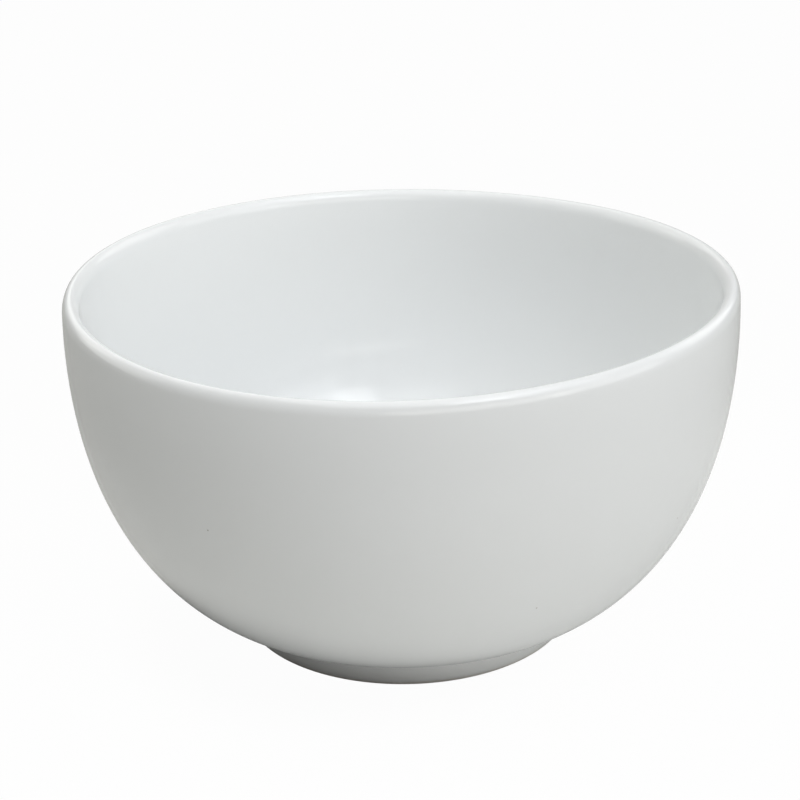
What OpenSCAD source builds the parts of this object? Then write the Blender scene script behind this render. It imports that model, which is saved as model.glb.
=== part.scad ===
// Latte bowl: a fired clay body on a turned foot ring, a glaze coat over the
// outside, the rim and the inside, and a patch of glaze in the well under the
// foot. The ring that it stands on is wiped bare, so the two glazes don't meet.
// Millimetres, Z up, origin in the middle of the standing ring, on the table.
// Outside sizes are over the glaze. Every surface is turned about Z.

/* [Bowl] */
// Diameter at the widest level
bowl_d = 140; // [120:1:170]
// Height from the table to the top of the rim
bowl_h = 77; // [64:0.5:96]
// Drop from the top of the rim to the widest level
widest_drop = 11; // [7:0.5:16]
// Radius of the outer curve that draws the rim in above the widest level
side_r = 110; // [70:5:200]

/* [Belly] */
// Share of the height down which the side holds its upright direction
side_pull = 0.7; // [0.55:0.01:0.85]
// Share of the overhang across which the belly holds its slope at the foot
base_pull = 0.31; // [0.15:0.01:0.45]
// Slope of the belly where it meets the foot, in degrees from level
base_slope = 14; // [8:1:24]

/* [Wall] */
// Thickness just below the rounding of the rim, over both glazes
rim_t = 3.5; // [2.6:0.1:5]
// Height of the rounding at the top of the rim
rim_round_h = 2.7; // [1.7:0.1:4.5]
// Thickness of the wall above the foot, over both glazes
heel_t = 6; // [4:0.1:8]
// Thickness of the floor above the well, over both glazes
floor_t = 4.6; // [3.4:0.1:6]

/* [Foot] */
// Outer diameter of the foot on the table
foot_d = 72.8; // [60:0.4:84]
// Height of the corner between the foot and the belly
foot_h = 6.9; // [5:0.1:10]
// Lean of the outer side of the foot, in degrees from upright
foot_lean = 24; // [0:1:32]
// Width of the bare ring that the bowl stands on
ring_w = 3.6; // [2.4:0.1:6]
// Radius of the hollow fillet between the foot and the belly
foot_fillet_r = 1.2; // [0.6:0.1:2.4]
// Radius of the two edges of the standing ring
ring_edge_r = 0.6; // [0.2:0.1:1]

/* [Well under the foot] */
// Depth of the well
well_depth = 4.8; // [4:0.1:6]
// Lean of the well's side, in degrees from upright
well_lean = 30; // [10:1:45]
// Radius of the fillet round the top of the well
well_fillet_r = 2; // [1:0.1:3]

/* [Glaze] */
// Thickness of the glaze
glaze_t = 0.3; // [0.2:0.05:0.6]
// Height of the glaze's edge above the table, on both sides of the foot
glaze_edge_h = 1; // [0.8:0.1:2.5]

/* [Hidden] */
$fn = 180;
curve_steps = 30;    // along the belly, and again along the wall inside it
floor_steps = 12;
rim_steps = 9;       // on each side of the top
side_steps = 4;
fillet_steps = 6;
heel_pull = 0.5;     // share of the run from the heel down to the floor's level
floor_pull = 0.4;    // share of the floor's radius that lies almost level
round_pull = 0.5523; // draws a cubic curve as a quarter of an ellipse

widest_r = bowl_d / 2;
widest_z = bowl_h - widest_drop;
side_c = [widest_r - side_r, widest_z];
side_rise = asin((widest_drop - rim_round_h) / side_r);
side_end = side_c + side_r * [cos(side_rise), sin(side_rise)];
rim_top = [side_end[0] - rim_t / 2, bowl_h];
rim_inside = [side_end[0] - rim_t, side_end[1]];
widest_t = widest_r - rim_inside[0];     // the inside stands upright below the rim

belly_dir = [cos(base_slope), sin(base_slope)];        // outward along the belly
foot_dir = [-sin(foot_lean), -cos(foot_lean)];         // down the foot's outer side
foot_corner = [foot_d / 2 + foot_h * tan(foot_lean), foot_h];
well_dir = [sin(well_lean), -cos(well_lean)];          // down the well's side
well_r = foot_d / 2 - ring_w;                          // on the table
well_corner = [well_r - well_depth * tan(well_lean), well_depth];
floor_z = well_depth + floor_t;

// A surface is a list of [point, normal], with the normal pointing out of the
// solid. Sunk by a depth, it gives the points of the surface that much below.
function sunk(surface, depth) = [for (s = surface) s[0] - depth * s[1]];
function flip(list) = [for (i = [len(list) - 1:-1:0]) list[i]];
function rest(list) = [for (i = [1:len(list) - 1]) list[i]];
function unit(v) = v / norm(v);
function right_of(v) = [v[1], -v[0]];
function polar(angle) = [cos(angle), sin(angle)];
function angle_of(v) = atan2(v[1], v[0]);
function bend(a, b) = (b - a + 540) % 360 - 180;       // the short way from a to b

// Round stretch about a centre. Side is 1 where the normal points away from it.
function arc(c, r, from, turn, steps, side) =
    [for (i = [0:steps]) let (d = polar(from + turn * i / steps)) [c + r * d, side * d]];

// Round between two straight stretches that leave the corner along a and b.
function corner_arc(corner, a, b, r, steps, side) =
    let (
        half = acos(a * b) / 2,
        c = corner + unit(a + b) * r / sin(half),
        reach = r / tan(half),
        from = angle_of(corner + reach * a - c),
        to = angle_of(corner + reach * b - c)
    )
    arc(c, r, from, bend(from, to), steps, side);

// Cubic curve through p[0] and p[3], steered by p[1] and p[2].
function curve(p, u) =
    pow(1 - u, 3) * p[0] + 3 * u * pow(1 - u, 2) * p[1]
    + 3 * u * u * (1 - u) * p[2] + pow(u, 3) * p[3];
function curve_dir(p, u) =
    unit(pow(1 - u, 2) * (p[1] - p[0]) + 2 * u * (1 - u) * (p[2] - p[1]) + u * u * (p[3] - p[2]));
function along(p, steps) =
    [for (i = [0:steps]) let (u = i / steps) [curve(p, u), right_of(curve_dir(p, u))]];

// Outside, from the edge of the glaze up to the rim.
foot_round = corner_arc(foot_corner, foot_dir, belly_dir, foot_fillet_r, fillet_steps, -1);
belly_start = foot_round[fillet_steps][0];
belly_ends = [
    belly_start,
    belly_start + base_pull * (widest_r - belly_start[0]) * belly_dir,
    [widest_r, widest_z - side_pull * (widest_z - foot_h)],
    [widest_r, widest_z]
];
function belly(u) = [curve(belly_ends, u), right_of(curve_dir(belly_ends, u))];
rim_out_ends = [
    side_end,
    side_end + round_pull * rim_round_h * polar(90 + side_rise),
    rim_top + [round_pull * rim_t / 2, 0],
    rim_top
];
rim_in_ends = [
    rim_top,
    rim_top - [round_pull * rim_t / 2, 0],
    rim_inside + [0, round_pull * rim_round_h],
    rim_inside
];
foot_glaze_end = [
    foot_corner + foot_dir * (foot_h - glaze_edge_h) / cos(foot_lean),
    right_of(-foot_dir)
];

// Inside, where the wall grows thicker from the widest level down to the heel.
function wall_t(u) = heel_t + (widest_t - heel_t) * u * u * (3 - 2 * u);
function wall(u) = let (b = belly(u)) [b[0] - wall_t(u) * b[1], -b[1]];
heel = wall(0)[0];
floor_run = max(0, (heel[1] - floor_z) / sin(base_slope));
floor_reach = min(heel[0] / 2, heel_pull * floor_run);
floor_ends = [
    heel,
    heel - floor_reach * belly_dir,
    [floor_pull * heel[0], floor_z],
    [0, floor_z]
];

coat_surface = concat(
    [foot_glaze_end],
    foot_round,
    rest(along(belly_ends, curve_steps)),
    rest(arc(side_c, side_r, 0, side_rise, side_steps, 1)),
    rest(along(rim_out_ends, rim_steps)),
    rest(along(rim_in_ends, rim_steps)),
    [for (i = [curve_steps:-1:0]) wall(i / curve_steps)],
    rest(along(floor_ends, floor_steps))
);

// Under the foot, from the middle of the well out to the edge of its glaze.
well_surface = concat(
    [[[0, well_depth], [0, -1]]],
    corner_arc(well_corner, [-1, 0], well_dir, well_fillet_r, fillet_steps, -1),
    [[
        well_corner + well_dir * (well_depth - glaze_edge_h) / cos(well_lean),
        right_of(well_dir)
    ]]
);

// The bare ring, from the well's side round to the foot's outer side.
well_toe = [well_r + glaze_t / cos(well_lean), 0];
foot_toe = [foot_d / 2 - glaze_t / cos(foot_lean), 0];
ring_surface = concat(
    corner_arc(well_toe, -well_dir, [1, 0], ring_edge_r, fillet_steps, 1),
    corner_arc(foot_toe, [-1, 0], -foot_dir, ring_edge_r, fillet_steps, 1)
);

module turned(outline) {
    rotate_extrude() polygon(outline);
}

module bowl_body() {
    color("#dcd9d0")
        turned(concat(
            sunk(coat_surface, glaze_t),
            sunk(well_surface, glaze_t),
            sunk(ring_surface, 0)
        ));
}

module glaze_coat() {
    color("#e4e7e6")
        turned(concat(sunk(coat_surface, 0), flip(sunk(coat_surface, glaze_t))));
}

module foot_well_glaze() {
    color("#dfe2e1")
        turned(concat(sunk(well_surface, 0), flip(sunk(well_surface, glaze_t))));
}

bowl_body();
glaze_coat();
foot_well_glaze();
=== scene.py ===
import math
import bmesh
import bpy
from mathutils import Matrix, Vector
from mathutils.geometry import interpolate_bezier


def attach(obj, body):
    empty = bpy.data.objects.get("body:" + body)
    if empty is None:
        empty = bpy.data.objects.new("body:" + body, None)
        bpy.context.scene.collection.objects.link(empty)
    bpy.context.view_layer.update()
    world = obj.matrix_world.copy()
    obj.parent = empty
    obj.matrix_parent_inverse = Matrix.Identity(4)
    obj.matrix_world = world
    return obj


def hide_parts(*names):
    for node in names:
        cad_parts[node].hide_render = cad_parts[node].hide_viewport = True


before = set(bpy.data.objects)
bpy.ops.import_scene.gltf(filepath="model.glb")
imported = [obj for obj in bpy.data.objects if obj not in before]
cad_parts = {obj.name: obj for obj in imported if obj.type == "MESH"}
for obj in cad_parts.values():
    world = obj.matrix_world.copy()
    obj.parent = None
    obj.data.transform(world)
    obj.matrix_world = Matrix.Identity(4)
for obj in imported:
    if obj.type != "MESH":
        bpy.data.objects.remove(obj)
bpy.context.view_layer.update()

print("frame loaded:", ", ".join(sorted(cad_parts)))

# Metres and degrees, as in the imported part: turned about Z, standing on z = 0.
bowl = {
    "width": 0.140,             # at the widest level
    "height": 0.077,
    "widestDrop": 0.011,        # from the rim's top to the widest level
    "sideRadius": 0.110,        # of the upright curve above it
    "sidePull": 0.70,           # share of the height down which the side stays upright
    "basePull": 0.31,           # share of the overhang across which the belly keeps its slope
    "baseSlope": 14.0,          # of the belly where it meets the foot
    "rim": 0.0035,              # these thicknesses are over both glazes
    "rimRound": 0.0027,         # height of the rim's rounding
    "roundPull": 0.5523,        # draws a cubic curve as a quarter of an ellipse
    "heel": 0.0060,
    "floor": 0.0046,
    "heelPull": 0.5,            # share of the run from the heel down to the floor's level
    "floorPull": 0.4,           # share of the floor that lies almost level
    "turns": 256,               # steps of the lathe
    "weld": 1e-7,               # points nearer than this are one
    "sharpAngle": 50.0,         # edges sharper than this aren't shaded smooth
    "steps": {"belly": 38, "side": 4, "rim": 12, "insideTop": 4, "floor": 18},
}
foot = {
    "width": 0.0728,            # on the table
    "height": 0.0069,
    "lean": 24.0,
    "ring": 0.0036,             # width of the bare ring
    "fillet": 0.0012,
    "edge": 0.0006,
    "wellDepth": 0.0048,
    "wellLean": 30.0,
    "wellFillet": 0.0020,
    "steps": {"side": 6, "fillet": 7, "edge": 8, "well": 16, "wellFillet": 12},
}
glaze = {
    "thickness": 0.0003,
    "edgeHeight": 0.0010,
    "edgeRound": 0.00016,
    "edgeAngle": 60.0,          # an edge sharper than this is an end of the glaze,
    "edgeBelow": 0.0015,        # where it lies lower than this
    "edgeNear": 1e-5,           # radii as near as this are of one edge
    "waver": 0.00014,           # of the glaze's lower edges, and how far up it reaches
    "waverReach": 0.0035,
    "waves": ((0.5, 3, 0.6), (0.35, 7, 2.1), (0.15, 16, 4.0)),     # share, number, phase
}
kiln = {                        # how the rim moved in the firing, in metres
    "tilt": (0.00008, -0.00011),
    "saddle": (0.00039, -0.00046),
    "oval": (0.00115, -0.00001),
}


def way(angle):
    return Vector((math.cos(math.radians(angle)), math.sin(math.radians(angle))))


def leftOf(v):
    return Vector((-v.y, v.x))


def arcPoints(centre, radius, start, turn, steps):
    return [centre + radius * way(start + turn * i / steps) for i in range(steps + 1)]


def straight(a, b, steps):
    return [a.lerp(b, i / steps) for i in range(steps + 1)]


def curved(ends, steps):
    return [p.to_2d() for p in interpolate_bezier(*[e.to_3d() for e in ends], steps + 1)]


def rounded(corner, a, b, radius, steps):       # a and b leave the corner
    half = a.angle(b) / 2
    centre = corner + (a + b).normalized() * radius / math.sin(half)
    reach = radius / math.tan(half)
    start, end = (math.degrees(math.atan2(*(corner + v * reach - centre).yx)) for v in (a, b))
    return arcPoints(centre, radius, start, (end - start + 540) % 360 - 180, steps)


def tangents(line):
    ahead = line[1:] + [2 * line[-1] - line[-2]]
    behind = [2 * line[0] - line[1]] + line[:-1]
    return [(a - b).normalized() for a, b in zip(ahead, behind)]


def sunk(line, depth):                          # to the left of the way the line runs
    moved = [p + depth * leftOf(t) for p, t in zip(line, tangents(line))]
    for p, old in zip(moved, line):
        p.x = p.x if old.x > bowl["weld"] else 0        # a point on the axis stays there
    return moved


# The outside, from the foot up to the widest level.
widestR = bowl["width"] / 2
widestZ = bowl["height"] - bowl["widestDrop"]
bellyWay = way(bowl["baseSlope"])
footWay = way(-90 - foot["lean"])               # down the foot's outer side
footLean = math.radians(foot["lean"])
footCos, footTan = math.cos(footLean), math.tan(footLean)
footCorner = Vector((foot["width"] / 2 + foot["height"] * footTan, foot["height"]))
footRound = rounded(footCorner, footWay, bellyWay, foot["fillet"], foot["steps"]["fillet"])
footEnd = footCorner + footWay * (foot["height"] - glaze["edgeHeight"]) / footCos
bellyStart = footRound[-1]
belly = curved([
    bellyStart,
    bellyStart + bowl["basePull"] * (widestR - bellyStart.x) * bellyWay,
    Vector((widestR, widestZ - bowl["sidePull"] * (widestZ - foot["height"]))),
    Vector((widestR, widestZ)),
], bowl["steps"]["belly"])

# The rim: a quarter of an ellipse on each side of its top.
sideCentre = Vector((widestR - bowl["sideRadius"], widestZ))
sideRise = math.degrees(math.asin((bowl["widestDrop"] - bowl["rimRound"]) / bowl["sideRadius"]))
sideEnd = sideCentre + bowl["sideRadius"] * way(sideRise)
rimTop = Vector((sideEnd.x - bowl["rim"] / 2, bowl["height"]))
rimInside = Vector((sideEnd.x - bowl["rim"], sideEnd.y))
rimPull = bowl["roundPull"] * Vector((bowl["rim"] / 2, bowl["rimRound"]))
rimLine = curved([
    sideEnd,
    sideEnd + rimPull.y * way(90 + sideRise),
    rimTop + Vector((rimPull.x, 0)),
    rimTop,
], bowl["steps"]["rim"]) + curved([
    rimTop,
    rimTop - Vector((rimPull.x, 0)),
    rimInside + Vector((0, rimPull.y)),
    rimInside,
], bowl["steps"]["rim"])[1:]

# Inside, the wall is upright below the rim and thickens down to the heel; the floor runs in level.
widestWall = widestR - rimInside.x
wall = []
for i, (point, tangent) in enumerate(zip(belly, tangents(belly))):
    u = i / (len(belly) - 1)
    thickness = bowl["heel"] + (widestWall - bowl["heel"]) * u * u * (3 - 2 * u)
    wall.append(point + thickness * leftOf(tangent))
heel = wall[0]
floorZ = foot["wellDepth"] + bowl["floor"]
floorRun = (heel.y - floorZ) / math.sin(math.radians(bowl["baseSlope"]))
floor = curved([
    heel,
    heel - bowl["heelPull"] * floorRun * bellyWay,
    Vector((bowl["floorPull"] * heel.x, floorZ)),
    Vector((0, floorZ)),
], bowl["steps"]["floor"])

coatLine = (
    straight(footEnd, footRound[0], foot["steps"]["side"])[:-1]
    + footRound
    + belly[1:]
    + arcPoints(sideCentre, bowl["sideRadius"], 0, sideRise, bowl["steps"]["side"])[1:]
    + rimLine[1:]
    + straight(rimInside, wall[-1], bowl["steps"]["insideTop"])[1:]
    + wall[-2::-1]
    + floor[1:]
)

# Under the foot: the well's glaze, and the bare ring that parts it from the coat.
wellWay = way(foot["wellLean"] - 90)            # down the well's side
wellLean = math.radians(foot["wellLean"])
wellCos, wellTan = math.cos(wellLean), math.tan(wellLean)
wellR = foot["width"] / 2 - foot["ring"]
wellCorner = Vector((wellR - foot["wellDepth"] * wellTan, foot["wellDepth"]))
wellRound = rounded(wellCorner, Vector((-1, 0)), wellWay, foot["wellFillet"],
                    foot["steps"]["wellFillet"])
wellEnd = wellCorner + wellWay * (foot["wellDepth"] - glaze["edgeHeight"]) / wellCos
wellLine = (
    straight(Vector((0, foot["wellDepth"])), wellRound[0], foot["steps"]["well"])[:-1]
    + wellRound
    + straight(wellRound[-1], wellEnd, foot["steps"]["side"])[1:]
)
wellToe = Vector((wellR + glaze["thickness"] / wellCos, 0))
footToe = Vector((foot["width"] / 2 - glaze["thickness"] / footCos, 0))
ringLine = (
    rounded(wellToe, -wellWay, Vector((1, 0)), foot["edge"], foot["steps"]["edge"])
    + rounded(footToe, Vector((-1, 0)), -footWay, foot["edge"], foot["steps"]["edge"])
)
print("lines drawn:", len(coatLine), len(wellLine), len(ringLine))


def turned(name, line):
    mesh = bpy.data.meshes.new(name)
    form = bmesh.new()
    points = [form.verts.new((p.x, 0, p.y)) for p in line]
    edges = [form.edges.new(pair) for pair in zip(points, points[1:] + points[:1])
             if pair[0].co.x > 0 or pair[1].co.x > 0]           # none along the axis
    bmesh.ops.spin(form, geom=points + edges, axis=(0, 0, 1), cent=(0, 0, 0), angle=math.pi / 2,
                   steps=bowl["turns"] // 4)
    for axis in "XY":                           # a quarter turned, then mirrored twice, is quick
        bmesh.ops.mirror(form, geom=form.verts[:] + form.edges[:] + form.faces[:], axis=axis,
                         merge_dist=bowl["weld"])
    bmesh.ops.remove_doubles(form, verts=form.verts, dist=bowl["weld"])
    bmesh.ops.recalc_face_normals(form, faces=form.faces)
    form.to_mesh(mesh)
    form.free()
    piece = bpy.data.objects.new(name, mesh)
    bpy.context.scene.collection.objects.link(piece)
    return piece


def roundGlazeEdge(piece, pick):                # the edge of a glaze is soft, not cut
    form = bmesh.new()
    form.from_mesh(piece.data)
    form.normal_update()
    ends = [e for e in form.edges
            if e.is_manifold and e.calc_face_angle() > math.radians(glaze["edgeAngle"])
            and max(v.co.z for v in e.verts) < glaze["edgeBelow"]]
    skinR = pick(v.co.to_2d().length for e in ends for v in e.verts)
    edges = [e for e in ends
             if all(abs(v.co.to_2d().length - skinR) < glaze["edgeNear"] for v in e.verts)]
    bmesh.ops.bevel(form, geom=edges, offset=glaze["edgeRound"], segments=4, profile=0.5,
                    affect="EDGES", material=-1)
    form.to_mesh(piece.data)
    form.free()


def waver(angle):
    return glaze["waver"] * sum(share * math.sin(number * angle + phase)
                                for share, number, phase in glaze["waves"])


def settled(piece, down=None):                  # what the kiln did to a true turned form
    for v in piece.data.vertices:
        x, y, z = v.co
        a = math.atan2(y, x)
        if down is not None:                    # the glaze's edge wavers up and down its side
            near = max(0.0, 1 - (z - glaze["edgeHeight"]) / glaze["waverReach"])
            slip = waver(a) * near ** 2
            x, y, z = (x + down.x * slip * math.cos(a), y + down.x * slip * math.sin(a),
                       z + down.y * slip)
        k = (z / bowl["height"]) ** 2
        grow = 1 + k * (kiln["oval"][0] * math.cos(2 * a)
                        + kiln["oval"][1] * math.sin(2 * a)) / widestR
        lift = (kiln["tilt"][0] * math.cos(a) + kiln["tilt"][1] * math.sin(a)
                + kiln["saddle"][0] * math.cos(2 * a) + kiln["saddle"][1] * math.sin(2 * a))
        v.co = (x * grow, y * grow, z + k * lift)
    piece.data.shade_smooth()
    piece.data.set_sharp_from_angle(angle=math.radians(bowl["sharpAngle"]))


coatUnder, wellUnder = sunk(coatLine, glaze["thickness"]), sunk(wellLine, glaze["thickness"])
body = turned("fired_body", coatUnder + wellUnder + ringLine)
settled(body)
shell = turned("glaze_shell", coatLine + coatUnder[::-1])
roundGlazeEdge(shell, max)
settled(shell, down=footWay)
patch = turned("well_glaze", wellLine + wellUnder[::-1])
roundGlazeEdge(patch, min)
settled(patch, down=wellWay)
for piece, node, slot in ((body, "bowl_body", "clay"), (shell, "glaze_coat", "glaze"),
                          (patch, "foot_well_glaze", "well_glaze")):
    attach(piece, "root")
    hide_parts(node)
    print(piece.name, "made:", len(piece.data.polygons), "faces")


class Flow:                                     # a node's output that can be reckoned with
    def __init__(self, tree, socket=None):
        self.tree, self.socket = tree, socket

    def add(self, kind, settings=None, values=None, out=0):
        node = self.tree.nodes.new(kind)
        for key, value in (settings or {}).items():
            setattr(node, key, value)
        for key, value in (values or {}).items():
            if isinstance(value, Flow):
                self.tree.links.new(value.socket, node.inputs[key])
            else:
                node.inputs[key].default_value = value
        return Flow(self.tree, node.outputs[out] if node.outputs else None)

    def reckon(self, operation, first, second):
        return self.add("ShaderNodeMath", {"operation": operation}, {0: first, 1: second})

    def __add__(self, other):
        return self.reckon("ADD", self, other)

    def __radd__(self, other):
        return self.reckon("ADD", other, self)

    def __sub__(self, other):
        return self.reckon("SUBTRACT", self, other)

    def __rsub__(self, other):
        return self.reckon("SUBTRACT", other, self)

    def __mul__(self, other):
        return self.reckon("MULTIPLY", self, other)

    def __rmul__(self, other):
        return self.reckon("MULTIPLY", other, self)


def newFinish(name):
    material = bpy.data.materials.new(name)
    material.use_nodes = True
    material.node_tree.nodes.clear()
    return material, Flow(material.node_tree)


def blendColours(nodes, amount, first, second):
    return nodes.add("ShaderNodeMix", {"data_type": "RGBA", "clamp_factor": True},
                     {0: amount, 6: first, 7: second}, out=2)


def smoothRise(nodes, amount, low, high):       # from 0 at low to 1 at high
    return nodes.add("ShaderNodeMapRange", {"interpolation_type": "SMOOTHSTEP"},
                     {0: amount, 1: low, 2: high})


glazeFinish = {
    "colour": (0.896, 0.911, 0.913),
    "thin": (0.890, 0.902, 0.902),              # where it lies thinner
    "thinShare": 0.8,
    "cloudScale": 38.0,                         # of the thin and thick places
    "speck": (0.50, 0.48, 0.43),                # the odd grain of ash or iron
    "speckSpread": 75.0,
    "speckSize": (0.0072, 0.018),               # its core and its edge, as shares of the spread
    "roughness": 0.10,
    "cloudRoughness": 0.02,
    "peelScale": 900.0,                         # of the faint orange peel
    "peelStrength": 0.02,
    "peelHeight": 0.0001,
    "ior": 1.5,
}
clayFinish = {
    "colour": (0.76, 0.74, 0.70),
    "grain": (0.71, 0.69, 0.65),
    "grainScale": 2500.0,
    "grainStrength": 0.4,
    "grainHeight": 0.0001,
    "roughness": 0.85,
}


def glazeMaterial(name):
    material, nodes = newFinish(name)
    place = nodes.add("ShaderNodeTexCoord", out="Object")
    cloud = nodes.add("ShaderNodeTexNoise", None, {
        "Vector": place, "Scale": glazeFinish["cloudScale"], "Detail": 3.0})
    peel = nodes.add("ShaderNodeTexNoise", None, {
        "Vector": place, "Scale": glazeFinish["peelScale"], "Detail": 2.0})
    tone = blendColours(nodes, cloud * glazeFinish["thinShare"],
                        (*glazeFinish["colour"], 1), (*glazeFinish["thin"], 1))
    far = nodes.add("ShaderNodeTexVoronoi", None, {
        "Vector": place, "Scale": glazeFinish["speckSpread"]})
    speck = 1 - smoothRise(nodes, far, *glazeFinish["speckSize"])
    tone = blendColours(nodes, speck, tone, (*glazeFinish["speck"], 1))
    bump = nodes.add("ShaderNodeBump", None, {
        "Height": peel, "Strength": glazeFinish["peelStrength"],
        "Distance": glazeFinish["peelHeight"]})
    shader = nodes.add("ShaderNodeBsdfPrincipled", None, {
        "Base Color": tone, "IOR": glazeFinish["ior"], "Normal": bump,
        "Roughness": glazeFinish["roughness"] + cloud * glazeFinish["cloudRoughness"]})
    nodes.add("ShaderNodeOutputMaterial", None, {"Surface": shader})
    return material


def clayMaterial(name):
    material, nodes = newFinish(name)
    place = nodes.add("ShaderNodeTexCoord", out="Object")
    grain = nodes.add("ShaderNodeTexNoise", None, {
        "Vector": place, "Scale": clayFinish["grainScale"], "Detail": 4.0})
    tone = blendColours(nodes, grain, (*clayFinish["colour"], 1), (*clayFinish["grain"], 1))
    bump = nodes.add("ShaderNodeBump", None, {
        "Height": grain, "Strength": clayFinish["grainStrength"],
        "Distance": clayFinish["grainHeight"]})
    shader = nodes.add("ShaderNodeBsdfPrincipled", None, {
        "Base Color": tone, "Roughness": clayFinish["roughness"], "Normal": bump})
    nodes.add("ShaderNodeOutputMaterial", None, {"Surface": shader})
    return material


body.data.materials.append(clayMaterial("bare_clay"))
shell.data.materials.append(glazeMaterial("white_glaze"))
patch.data.materials.append(glazeMaterial("well_white_glaze"))
print("finishes made")

# The camera, as worked out from the bowl's outline in the photograph.
view = {
    "elevation": 23.747, "distance": 0.4435, "aimHeight": 0.0385,
    "yaw": -0.091, "pitch": 1.289, "roll": -1.289,      # away from the aim
    "focal": 91.755, "sensor": 36.0, "reach": (0.01, 20.0),
}
elevation = math.radians(view["elevation"])
aim = Vector((0, 0, view["aimHeight"]))
eye = aim + view["distance"] * Vector((0, -math.cos(elevation), math.sin(elevation)))
ahead = (aim - eye).normalized()
right = ahead.cross(Vector((0, 0, 1))).normalized()
up = right.cross(ahead)
yaw, pitch, roll = (math.radians(view[k]) for k in ("yaw", "pitch", "roll"))
ahead = (math.cos(pitch) * (math.cos(yaw) * ahead + math.sin(yaw) * right)
         + math.sin(pitch) * up)
right = ahead.cross(Vector((0, 0, 1))).normalized()
up = right.cross(ahead)
right, up = (math.cos(roll) * right + math.sin(roll) * up,
             math.cos(roll) * up - math.sin(roll) * right)
lens = bpy.data.cameras.new("camera")
lens.lens, lens.sensor_width, lens.sensor_fit = view["focal"], view["sensor"], "HORIZONTAL"
lens.clip_start, lens.clip_end = view["reach"]
camera = bpy.data.objects.new("camera", lens)
camera.matrix_world = Matrix.Translation(eye) @ Matrix((right, up, -ahead)).transposed().to_4x4()
bpy.context.scene.collection.objects.link(camera)
bpy.context.scene.camera = camera

studio = {
    "floorSide": 6.0,
    # Painted bounce light: a paler floor round the bowl, hidden from the eye, brightens the light
    # thrown back onto the lower belly.
    "paintedBounceColour": (0.74, 0.74, 0.72),          # round the bowl, under the white that the eye sees
    "paintedBouncePlace": (0.02, -0.02, 0),
    "paintedBounceReach": (0.09, 0.20),                 # how far it goes before and after it fades
    "floorColour": (0.42, 0.42, 0.40),          # farther out
    # Painted shadow: a near-black patch on the floor beside the foot, hidden from the eye, darkens
    # the foot's left end and what the glaze mirrors there.
    "paintedShadowColour": (0.02, 0.02, 0.02),            # beside the foot
    "paintedShadowPlace": (-0.016, -0.006, 0),
    "paintedShadowReach": (0.032, 0.053),                 # likewise
    "floorSeen": 0.975,                         # share of plain white in the floor for the eye
    "floorMirrored": 0.10,                      # and in what the glaze mirrors
    "roomMirrored": 0.50,
    "dome": (0.015, 0.015, 0.015),              # what the room gives from all round
}
# Each lamp: azimuth from the front, elevation, distance from the bowl, size, watts, colour.
lamps = [
    ("key", 27, 47, 1.1, (0.30, 0.34), 0.9, (0.96, 0.97, 1.0)),
    ("right", 52, 48, 1.1, (0.70, 0.70), 2.3, (0.925, 0.95, 1.0)),
    ("front_low", 22, 11.5, 1.3, (1.4, 0.4), 2.9, (1.0, 0.97, 0.915)),
    ("side", 66, 12, 1.3, (1.0, 0.45), 2.2, (1.0, 1.0, 0.99)),
    ("left_top", 282, 48, 1.1, (0.8, 0.8), 0.9, (1.0, 0.985, 0.94)),
    ("left_low", 254, 18, 1.2, (0.9, 0.6), 1.6, (1.0, 0.99, 0.94)),
    ("rear_left", 214, 46, 1.1, (1.2, 1.2), 4.3, (1.0, 0.995, 0.955)),
    ("rear_right", 122, 26, 1.1, (0.8, 0.6), 1.9, (1.0, 1.0, 0.98)),
    ("top", 0, 82, 1.2, (1.0, 1.0), 2.0, (1.0, 0.985, 0.95)),
    ("top_front", 10, 68, 1.2, (1.3, 1.2), 5.4, (0.955, 0.98, 1.0)),
]


def seenRays(nodes, seen, mirrored):            # the eye, then mirrors and glass
    eyeRay, glossRay, glassRay = (nodes.add("ShaderNodeLightPath", out=o) for o in
                                  ("Is Camera Ray", "Is Glossy Ray", "Is Transmission Ray"))
    return nodes.add("ShaderNodeClamp", None, {0: eyeRay * seen + (glossRay + glassRay) * mirrored})


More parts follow.
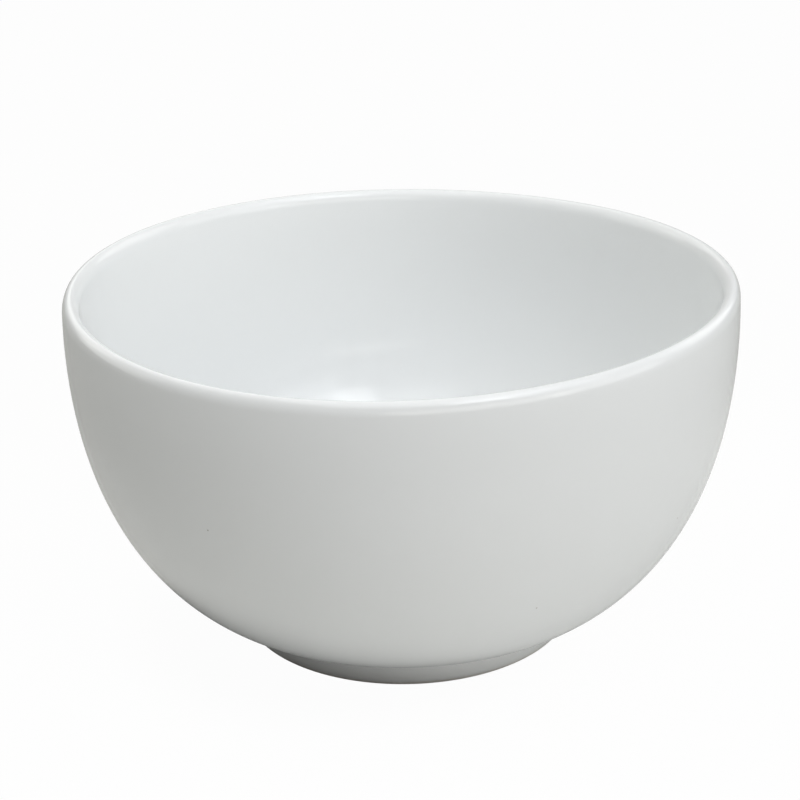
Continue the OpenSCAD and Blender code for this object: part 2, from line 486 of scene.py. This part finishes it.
ground = bpy.data.meshes.new("floor")
form = bmesh.new()
bmesh.ops.create_grid(form, x_segments=1, y_segments=1, size=studio["floorSide"] / 2)
form.to_mesh(ground)
form.free()
groundPiece = bpy.data.objects.new("floor", ground)
bpy.context.scene.collection.objects.link(groundPiece)
material, nodes = newFinish("pale_floor")
place = nodes.add("ShaderNodeTexCoord", out="Object")
tone = (*studio["floorColour"], 1)
# The floor's tone, under the white that the eye sees, carries a painted pool of bounce light round
# the bowl and a painted shadow beside the foot.
for name in ("paintedBounce", "paintedShadow"):
    away = nodes.add("ShaderNodeVectorMath", {"operation": "DISTANCE"},
                     {0: place, 1: studio[name + "Place"]}, out=1)
    beyond = smoothRise(nodes, away, *studio[name + "Reach"])
    tone = blendColours(nodes, beyond, (*studio[name + "Colour"], 1), tone)
pale = nodes.add("ShaderNodeBsdfDiffuse", None, {"Color": tone})
white = nodes.add("ShaderNodeEmission", None, {"Color": (1, 1, 1, 1), "Strength": 1.0})
mixed = nodes.add("ShaderNodeMixShader", None, {
    0: seenRays(nodes, studio["floorSeen"], studio["floorMirrored"]), 1: pale, 2: white})
nodes.add("ShaderNodeOutputMaterial", None, {"Surface": mixed})
ground.materials.append(material)

world = bpy.data.worlds.new("studio")
world.use_nodes = True
world.node_tree.nodes.clear()
nodes = Flow(world.node_tree)
dome = nodes.add("ShaderNodeBackground", None, {"Color": (*studio["dome"], 1)})
white = nodes.add("ShaderNodeBackground", None, {"Color": (1, 1, 1, 1)})
mixed = nodes.add("ShaderNodeMixShader", None, {
    0: seenRays(nodes, 1.0, studio["roomMirrored"]), 1: dome, 2: white})
nodes.add("ShaderNodeOutputWorld", None, {"Surface": mixed})
bpy.context.scene.world = world

for name, azimuth, height, distance, size, power, colour in lamps:
    lamp = bpy.data.lights.new(name, "AREA")
    lamp.shape, lamp.energy, lamp.color = "RECTANGLE", power, colour
    lamp.size, lamp.size_y = size
    a, e = math.radians(azimuth), math.radians(height)
    back = Vector((math.sin(a) * math.cos(e), -math.cos(a) * math.cos(e), math.sin(e)))
    holder = bpy.data.objects.new(name, lamp)
    holder.location = aim + distance * back
    holder.rotation_euler = back.to_track_quat("Z", "Y").to_euler()
    holder.visible_camera = False
    bpy.context.scene.collection.objects.link(holder)
print("studio made:", len(lamps), "lamps")

bpy.context.scene.view_settings.view_transform = "Standard"
